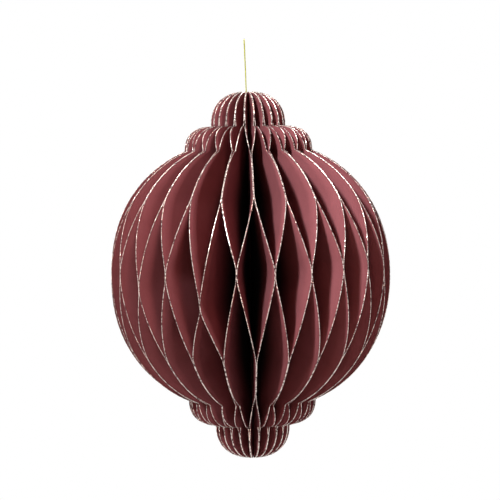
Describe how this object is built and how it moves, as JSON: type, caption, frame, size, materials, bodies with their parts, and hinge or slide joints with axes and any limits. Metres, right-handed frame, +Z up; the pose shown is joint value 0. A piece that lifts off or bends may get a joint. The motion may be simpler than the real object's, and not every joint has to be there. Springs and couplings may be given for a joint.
{
  "type": "paper honeycomb ball",
  "caption": "Hanging honeycomb ball of glued paper leaves with glitter edges, a stepped dome at each end, and a magnet seam that lets it fold flat round its spine.",
  "frame": {"origin": "top of the hanging loop, where a hook holds it", "axes": "+Z up along the spine; +Y towards the seam at the back; the pictured side faces -Y"},
  "size_m": [0.149, 0.1492, 0.2254],
  "materials": {
    "paper": "matte dyed paper, outer edges dipped in silver glitter",
    "cover_board": "matte dyed board with the same glitter edge",
    "magnet": "nickel plate",
    "tape": "woven binding tape",
    "thread": "twisted metallic thread"
  },
  "bodies": {
    "spine": {"spine_tape": "tape", "fixed_cover": "cover_board", "fixed_cover_magnets": "magnet", "hanging_thread": "thread", "thread_knot": "thread"},
    "leaf_01": {"leaf_01": "paper"},
    "leaf_02": {"leaf_02": "paper"},
    "leaf_03": {"leaf_03": "paper"},
    "leaf_04": {"leaf_04": "paper"},
    "leaf_05": {"leaf_05": "paper"},
    "leaf_06": {"leaf_06": "paper"},
    "leaf_07": {"leaf_07": "paper"},
    "leaf_08": {"leaf_08": "paper"},
    "leaf_09": {"leaf_09": "paper"},
    "leaf_10": {"leaf_10": "paper"},
    "leaf_11": {"leaf_11": "paper"},
    "leaf_12": {"leaf_12": "paper"},
    "leaf_13": {"leaf_13": "paper"},
    "leaf_14": {"leaf_14": "paper"},
    "leaf_15": {"leaf_15": "paper"},
    "leaf_16": {"leaf_16": "paper"},
    "leaf_17": {"leaf_17": "paper"},
    "leaf_18": {"leaf_18": "paper"},
    "leaf_19": {"leaf_19": "paper"},
    "leaf_20": {"leaf_20": "paper"},
    "leaf_21": {"leaf_21": "paper"},
    "leaf_22": {"leaf_22": "paper"},
    "leaf_23": {"leaf_23": "paper"},
    "leaf_24": {"leaf_24": "paper"},
    "leaf_25": {"leaf_25": "paper"},
    "leaf_26": {"leaf_26": "paper"},
    "leaf_27": {"leaf_27": "paper"},
    "leaf_28": {"leaf_28": "paper"},
    "leaf_29": {"leaf_29": "paper"},
    "leaf_30": {"leaf_30": "paper"},
    "leaf_31": {"leaf_31": "paper"},
    "leaf_32": {"leaf_32": "paper"},
    "leaf_33": {"leaf_33": "paper"},
    "leaf_34": {"leaf_34": "paper"},
    "leaf_35": {"leaf_35": "paper"},
    "leaf_36": {"leaf_36": "paper"},
    "leaf_37": {"leaf_37": "paper"},
    "leaf_38": {"leaf_38": "paper"},
    "leaf_39": {"leaf_39": "paper"},
    "leaf_40": {"leaf_40": "paper"},
    "leaf_41": {"leaf_41": "paper"},
    "leaf_42": {"leaf_42": "paper"},
    "leaf_43": {"leaf_43": "paper"},
    "leaf_44": {"leaf_44": "paper"},
    "leaf_45": {"leaf_45": "paper"},
    "leaf_46": {"leaf_46": "paper"},
    "leaf_47": {"leaf_47": "paper"},
    "leaf_48": {"leaf_48": "paper"},
    "folding_cover": {"folding_cover": "cover_board", "folding_cover_magnets": "magnet"}
  },
  "joints": [
    {"name": "fold", "type": "hinge", "parent": "spine", "child": "folding_cover", "pos_m": [0, 0, -0.12659], "axis": [0, 0, 1], "range_deg": [-340, 0]},
    {"name": "leaf_01_fold", "type": "hinge", "parent": "spine", "child": "leaf_01", "pos_m": [0, 0, -0.12659], "axis": [0, 0, 1], "range_deg": [-3.55, 0], "deforming": ["leaf_01"]},
    {"name": "leaf_02_fold", "type": "hinge", "parent": "spine", "child": "leaf_02", "pos_m": [0, 0, -0.12659], "axis": [0, 0, 1], "range_deg": [-10.63, 0], "deforming": ["leaf_02"]},
    {"name": "leaf_03_fold", "type": "hinge", "parent": "spine", "child": "leaf_03", "pos_m": [0, 0, -0.12659], "axis": [0, 0, 1], "range_deg": [-17.72, 0], "deforming": ["leaf_03"]},
    {"name": "leaf_04_fold", "type": "hinge", "parent": "spine", "child": "leaf_04", "pos_m": [0, 0, -0.12659], "axis": [0, 0, 1], "range_deg": [-24.8, 0], "deforming": ["leaf_04"]},
    {"name": "leaf_05_fold", "type": "hinge", "parent": "spine", "child": "leaf_05", "pos_m": [0, 0, -0.12659], "axis": [0, 0, 1], "range_deg": [-31.89, 0], "deforming": ["leaf_05"]},
    {"name": "leaf_06_fold", "type": "hinge", "parent": "spine", "child": "leaf_06", "pos_m": [0, 0, -0.12659], "axis": [0, 0, 1], "range_deg": [-38.97, 0], "deforming": ["leaf_06"]},
    {"name": "leaf_07_fold", "type": "hinge", "parent": "spine", "child": "leaf_07", "pos_m": [0, 0, -0.12659], "axis": [0, 0, 1], "range_deg": [-46.05, 0], "deforming": ["leaf_07"]},
    {"name": "leaf_08_fold", "type": "hinge", "parent": "spine", "child": "leaf_08", "pos_m": [0, 0, -0.12659], "axis": [0, 0, 1], "range_deg": [-53.13, 0], "deforming": ["leaf_08"]},
    {"name": "leaf_09_fold", "type": "hinge", "parent": "spine", "child": "leaf_09", "pos_m": [0, 0, -0.12659], "axis": [0, 0, 1], "range_deg": [-60.22, 0], "deforming": ["leaf_09"]},
    {"name": "leaf_10_fold", "type": "hinge", "parent": "spine", "child": "leaf_10", "pos_m": [0, 0, -0.12659], "axis": [0, 0, 1], "range_deg": [-67.3, 0], "deforming": ["leaf_10"]},
    {"name": "leaf_11_fold", "type": "hinge", "parent": "spine", "child": "leaf_11", "pos_m": [0, 0, -0.12659], "axis": [0, 0, 1], "range_deg": [-74.39, 0], "deforming": ["leaf_11"]},
    {"name": "leaf_12_fold", "type": "hinge", "parent": "spine", "child": "leaf_12", "pos_m": [0, 0, -0.12659], "axis": [0, 0, 1], "range_deg": [-81.47, 0], "deforming": ["leaf_12"]},
    {"name": "leaf_13_fold", "type": "hinge", "parent": "spine", "child": "leaf_13", "pos_m": [0, 0, -0.12659], "axis": [0, 0, 1], "range_deg": [-88.55, 0], "deforming": ["leaf_13"]},
    {"name": "leaf_14_fold", "type": "hinge", "parent": "spine", "child": "leaf_14", "pos_m": [0, 0, -0.12659], "axis": [0, 0, 1], "range_deg": [-95.64, 0], "deforming": ["leaf_14"]},
    {"name": "leaf_15_fold", "type": "hinge", "parent": "spine", "child": "leaf_15", "pos_m": [0, 0, -0.12659], "axis": [0, 0, 1], "range_deg": [-102.72, 0], "deforming": ["leaf_15"]},
    {"name": "leaf_16_fold", "type": "hinge", "parent": "spine", "child": "leaf_16", "pos_m": [0, 0, -0.12659], "axis": [0, 0, 1], "range_deg": [-109.8, 0], "deforming": ["leaf_16"]},
    {"name": "leaf_17_fold", "type": "hinge", "parent": "spine", "child": "leaf_17", "pos_m": [0, 0, -0.12659], "axis": [0, 0, 1], "range_deg": [-116.89, 0], "deforming": ["leaf_17"]},
    {"name": "leaf_18_fold", "type": "hinge", "parent": "spine", "child": "leaf_18", "pos_m": [0, 0, -0.12659], "axis": [0, 0, 1], "range_deg": [-123.97, 0], "deforming": ["leaf_18"]},
    {"name": "leaf_19_fold", "type": "hinge", "parent": "spine", "child": "leaf_19", "pos_m": [0, 0, -0.12659], "axis": [0, 0, 1], "range_deg": [-131.05, 0], "deforming": ["leaf_19"]},
    {"name": "leaf_20_fold", "type": "hinge", "parent": "spine", "child": "leaf_20", "pos_m": [0, 0, -0.12659], "axis": [0, 0, 1], "range_deg": [-138.13, 0], "deforming": ["leaf_20"]},
    {"name": "leaf_21_fold", "type": "hinge", "parent": "spine", "child": "leaf_21", "pos_m": [0, 0, -0.12659], "axis": [0, 0, 1], "range_deg": [-145.22, 0], "deforming": ["leaf_21"]},
    {"name": "leaf_22_fold", "type": "hinge", "parent": "spine", "child": "leaf_22", "pos_m": [0, 0, -0.12659], "axis": [0, 0, 1], "range_deg": [-152.3, 0], "deforming": ["leaf_22"]},
    {"name": "leaf_23_fold", "type": "hinge", "parent": "spine", "child": "leaf_23", "pos_m": [0, 0, -0.12659], "axis": [0, 0, 1], "range_deg": [-159.38, 0], "deforming": ["leaf_23"]},
    {"name": "leaf_24_fold", "type": "hinge", "parent": "spine", "child": "leaf_24", "pos_m": [0, 0, -0.12659], "axis": [0, 0, 1], "range_deg": [-166.47, 0], "deforming": ["leaf_24"]},
    {"name": "leaf_25_fold", "type": "hinge", "parent": "spine", "child": "leaf_25", "pos_m": [0, 0, -0.12659], "axis": [0, 0, 1], "range_deg": [-173.55, 0], "deforming": ["leaf_25"]},
    {"name": "leaf_26_fold", "type": "hinge", "parent": "spine", "child": "leaf_26", "pos_m": [0, 0, -0.12659], "axis": [0, 0, 1], "range_deg": [-180.63, 0], "deforming": ["leaf_26"]},
    {"name": "leaf_27_fold", "type": "hinge", "parent": "spine", "child": "leaf_27", "pos_m": [0, 0, -0.12659], "axis": [0, 0, 1], "range_deg": [-187.72, 0], "deforming": ["leaf_27"]},
    {"name": "leaf_28_fold", "type": "hinge", "parent": "spine", "child": "leaf_28", "pos_m": [0, 0, -0.12659], "axis": [0, 0, 1], "range_deg": [-194.8, 0], "deforming": ["leaf_28"]},
    {"name": "leaf_29_fold", "type": "hinge", "parent": "spine", "child": "leaf_29", "pos_m": [0, 0, -0.12659], "axis": [0, 0, 1], "range_deg": [-201.88, 0], "deforming": ["leaf_29"]},
    {"name": "leaf_30_fold", "type": "hinge", "parent": "spine", "child": "leaf_30", "pos_m": [0, 0, -0.12659], "axis": [0, 0, 1], "range_deg": [-208.97, 0], "deforming": ["leaf_30"]},
    {"name": "leaf_31_fold", "type": "hinge", "parent": "spine", "child": "leaf_31", "pos_m": [0, 0, -0.12659], "axis": [0, 0, 1], "range_deg": [-216.05, 0], "deforming": ["leaf_31"]},
    {"name": "leaf_32_fold", "type": "hinge", "parent": "spine", "child": "leaf_32", "pos_m": [0, 0, -0.12659], "axis": [0, 0, 1], "range_deg": [-223.13, 0], "deforming": ["leaf_32"]},
    {"name": "leaf_33_fold", "type": "hinge", "parent": "spine", "child": "leaf_33", "pos_m": [0, 0, -0.12659], "axis": [0, 0, 1], "range_deg": [-230.22, 0], "deforming": ["leaf_33"]},
    {"name": "leaf_34_fold", "type": "hinge", "parent": "spine", "child": "leaf_34", "pos_m": [0, 0, -0.12659], "axis": [0, 0, 1], "range_deg": [-237.3, 0], "deforming": ["leaf_34"]},
    {"name": "leaf_35_fold", "type": "hinge", "parent": "spine", "child": "leaf_35", "pos_m": [0, 0, -0.12659], "axis": [0, 0, 1], "range_deg": [-244.38, 0], "deforming": ["leaf_35"]},
    {"name": "leaf_36_fold", "type": "hinge", "parent": "spine", "child": "leaf_36", "pos_m": [0, 0, -0.12659], "axis": [0, 0, 1], "range_deg": [-251.47, 0], "deforming": ["leaf_36"]},
    {"name": "leaf_37_fold", "type": "hinge", "parent": "spine", "child": "leaf_37", "pos_m": [0, 0, -0.12659], "axis": [0, 0, 1], "range_deg": [-258.55, 0], "deforming": ["leaf_37"]},
    {"name": "leaf_38_fold", "type": "hinge", "parent": "spine", "child": "leaf_38", "pos_m": [0, 0, -0.12659], "axis": [0, 0, 1], "range_deg": [-265.63, 0], "deforming": ["leaf_38"]},
    {"name": "leaf_39_fold", "type": "hinge", "parent": "spine", "child": "leaf_39", "pos_m": [0, 0, -0.12659], "axis": [0, 0, 1], "range_deg": [-272.72, 0], "deforming": ["leaf_39"]},
    {"name": "leaf_40_fold", "type": "hinge", "parent": "spine", "child": "leaf_40", "pos_m": [0, 0, -0.12659], "axis": [0, 0, 1], "range_deg": [-279.8, 0], "deforming": ["leaf_40"]},
    {"name": "leaf_41_fold", "type": "hinge", "parent": "spine", "child": "leaf_41", "pos_m": [0, 0, -0.12659], "axis": [0, 0, 1], "range_deg": [-286.88, 0], "deforming": ["leaf_41"]},
    {"name": "leaf_42_fold", "type": "hinge", "parent": "spine", "child": "leaf_42", "pos_m": [0, 0, -0.12659], "axis": [0, 0, 1], "range_deg": [-293.97, 0], "deforming": ["leaf_42"]},
    {"name": "leaf_43_fold", "type": "hinge", "parent": "spine", "child": "leaf_43", "pos_m": [0, 0, -0.12659], "axis": [0, 0, 1], "range_deg": [-301.05, 0], "deforming": ["leaf_43"]},
    {"name": "leaf_44_fold", "type": "hinge", "parent": "spine", "child": "leaf_44", "pos_m": [0, 0, -0.12659], "axis": [0, 0, 1], "range_deg": [-308.13, 0], "deforming": ["leaf_44"]},
    {"name": "leaf_45_fold", "type": "hinge", "parent": "spine", "child": "leaf_45", "pos_m": [0, 0, -0.12659], "axis": [0, 0, 1], "range_deg": [-315.22, 0], "deforming": ["leaf_45"]},
    {"name": "leaf_46_fold", "type": "hinge", "parent": "spine", "child": "leaf_46", "pos_m": [0, 0, -0.12659], "axis": [0, 0, 1], "range_deg": [-322.3, 0], "deforming": ["leaf_46"]},
    {"name": "leaf_47_fold", "type": "hinge", "parent": "spine", "child": "leaf_47", "pos_m": [0, 0, -0.12659], "axis": [0, 0, 1], "range_deg": [-329.38, 0], "deforming": ["leaf_47"]},
    {"name": "leaf_48_fold", "type": "hinge", "parent": "spine", "child": "leaf_48", "pos_m": [0, 0, -0.12659], "axis": [0, 0, 1], "range_deg": [-336.47, 0], "deforming": ["leaf_48"]}
  ],
  "couplings": [
    {"joint": "leaf_01_fold", "follows": "fold", "ratio": 0.010417},
    {"joint": "leaf_02_fold", "follows": "fold", "ratio": 0.03125},
    {"joint": "leaf_03_fold", "follows": "fold", "ratio": 0.052083},
    {"joint": "leaf_04_fold", "follows": "fold", "ratio": 0.072917},
    {"joint": "leaf_05_fold", "follows": "fold", "ratio": 0.09375},
    {"joint": "leaf_06_fold", "follows": "fold", "ratio": 0.11458},
    {"joint": "leaf_07_fold", "follows": "fold", "ratio": 0.13542},
    {"joint": "leaf_08_fold", "follows": "fold", "ratio": 0.15625},
    {"joint": "leaf_09_fold", "follows": "fold", "ratio": 0.17708},
    {"joint": "leaf_10_fold", "follows": "fold", "ratio": 0.19792},
    {"joint": "leaf_11_fold", "follows": "fold", "ratio": 0.21875},
    {"joint": "leaf_12_fold", "follows": "fold", "ratio": 0.23958},
    {"joint": "leaf_13_fold", "follows": "fold", "ratio": 0.26042},
    {"joint": "leaf_14_fold", "follows": "fold", "ratio": 0.28125},
    {"joint": "leaf_15_fold", "follows": "fold", "ratio": 0.30208},
    {"joint": "leaf_16_fold", "follows": "fold", "ratio": 0.32292},
    {"joint": "leaf_17_fold", "follows": "fold", "ratio": 0.34375},
    {"joint": "leaf_18_fold", "follows": "fold", "ratio": 0.36458},
    {"joint": "leaf_19_fold", "follows": "fold", "ratio": 0.38542},
    {"joint": "leaf_20_fold", "follows": "fold", "ratio": 0.40625},
    {"joint": "leaf_21_fold", "follows": "fold", "ratio": 0.42708},
    {"joint": "leaf_22_fold", "follows": "fold", "ratio": 0.44792},
    {"joint": "leaf_23_fold", "follows": "fold", "ratio": 0.46875},
    {"joint": "leaf_24_fold", "follows": "fold", "ratio": 0.48958},
    {"joint": "leaf_25_fold", "follows": "fold", "ratio": 0.51042},
    {"joint": "leaf_26_fold", "follows": "fold", "ratio": 0.53125},
    {"joint": "leaf_27_fold", "follows": "fold", "ratio": 0.55208},
    {"joint": "leaf_28_fold", "follows": "fold", "ratio": 0.57292},
    {"joint": "leaf_29_fold", "follows": "fold", "ratio": 0.59375},
    {"joint": "leaf_30_fold", "follows": "fold", "ratio": 0.61458},
    {"joint": "leaf_31_fold", "follows": "fold", "ratio": 0.63542},
    {"joint": "leaf_32_fold", "follows": "fold", "ratio": 0.65625},
    {"joint": "leaf_33_fold", "follows": "fold", "ratio": 0.67708},
    {"joint": "leaf_34_fold", "follows": "fold", "ratio": 0.69792},
    {"joint": "leaf_35_fold", "follows": "fold", "ratio": 0.71875},
    {"joint": "leaf_36_fold", "follows": "fold", "ratio": 0.73958},
    {"joint": "leaf_37_fold", "follows": "fold", "ratio": 0.76042},
    {"joint": "leaf_38_fold", "follows": "fold", "ratio": 0.78125},
    {"joint": "leaf_39_fold", "follows": "fold", "ratio": 0.80208},
    {"joint": "leaf_40_fold", "follows": "fold", "ratio": 0.82292},
    {"joint": "leaf_41_fold", "follows": "fold", "ratio": 0.84375},
    {"joint": "leaf_42_fold", "follows": "fold", "ratio": 0.86458},
    {"joint": "leaf_43_fold", "follows": "fold", "ratio": 0.88542},
    {"joint": "leaf_44_fold", "follows": "fold", "ratio": 0.90625},
    {"joint": "leaf_45_fold", "follows": "fold", "ratio": 0.92708},
    {"joint": "leaf_46_fold", "follows": "fold", "ratio": 0.94792},
    {"joint": "leaf_47_fold", "follows": "fold", "ratio": 0.96875},
    {"joint": "leaf_48_fold", "follows": "fold", "ratio": 0.98958}
  ]
}
